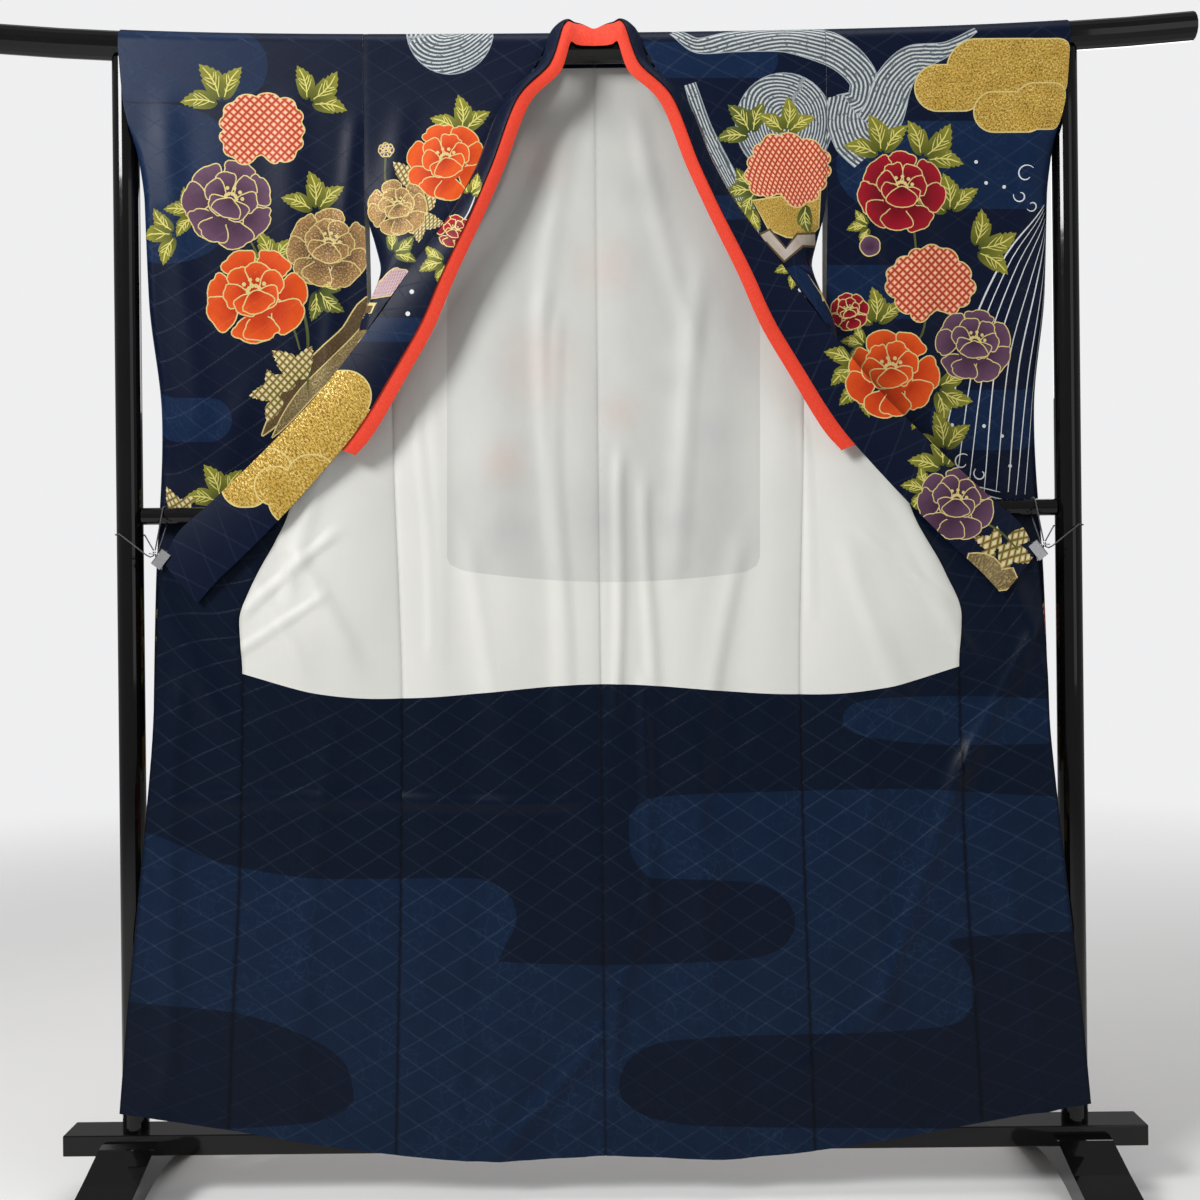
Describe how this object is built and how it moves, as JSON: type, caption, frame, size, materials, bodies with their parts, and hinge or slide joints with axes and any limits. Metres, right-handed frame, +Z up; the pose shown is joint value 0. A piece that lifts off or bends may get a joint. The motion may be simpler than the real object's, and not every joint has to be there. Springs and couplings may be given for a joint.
{
  "type": "furisode on a kimono stand",
  "caption": "Long-sleeved formal kimono hung spread open on a lacquered stand, with lined body, hanging sleeves and a collar band tied out to the posts.",
  "frame": {"origin": "on the floor under the middle of the stand", "axes": "+Z up, +X to the viewer's right along the rail, +Y away from the viewer, towards the back of the garment"},
  "size_m": [1.7634, 0.48, 1.7258],
  "materials": {
    "navy_silk": "painted silk crepe, satin",
    "navy_lining": "plain silk, satin",
    "ivory_lining": "thin silk, satin",
    "red_silk": "crepe, matt",
    "black_lacquer": "gloss lacquer",
    "steel": "satin",
    "black_cord": "braided"
  },
  "bodies": {
    "root": {"front_L": "navy_silk", "back_L": "navy_silk", "okumi_L": "navy_silk", "sleeve_L": "navy_silk", "lining_back_L": "ivory_lining", "lining_front_L": "ivory_lining", "hem_back_L": "navy_lining", "hem_front_L": "navy_lining", "hem_okumi_L": "navy_lining", "post_L": "black_lacquer", "foot_L": "black_lacquer", "clip_L": "steel", "cord_post_L": "black_cord", "cord_bar_L": "black_cord", "front_R": "navy_silk", "back_R": "navy_silk", "okumi_R": "navy_silk", "sleeve_R": "navy_silk", "lining_back_R": "ivory_lining", "lining_front_R": "ivory_lining", "hem_back_R": "navy_lining", "hem_front_R": "navy_lining", "hem_okumi_R": "navy_lining", "post_R": "black_lacquer", "foot_R": "black_lacquer", "clip_R": "steel", "cord_post_R": "black_cord", "cord_bar_R": "black_cord", "collar": "navy_silk", "inner_collar": "red_silk", "rail": "black_lacquer", "crossbar": "black_lacquer", "base_board": "black_lacquer"}
  },
  "joints": []
}
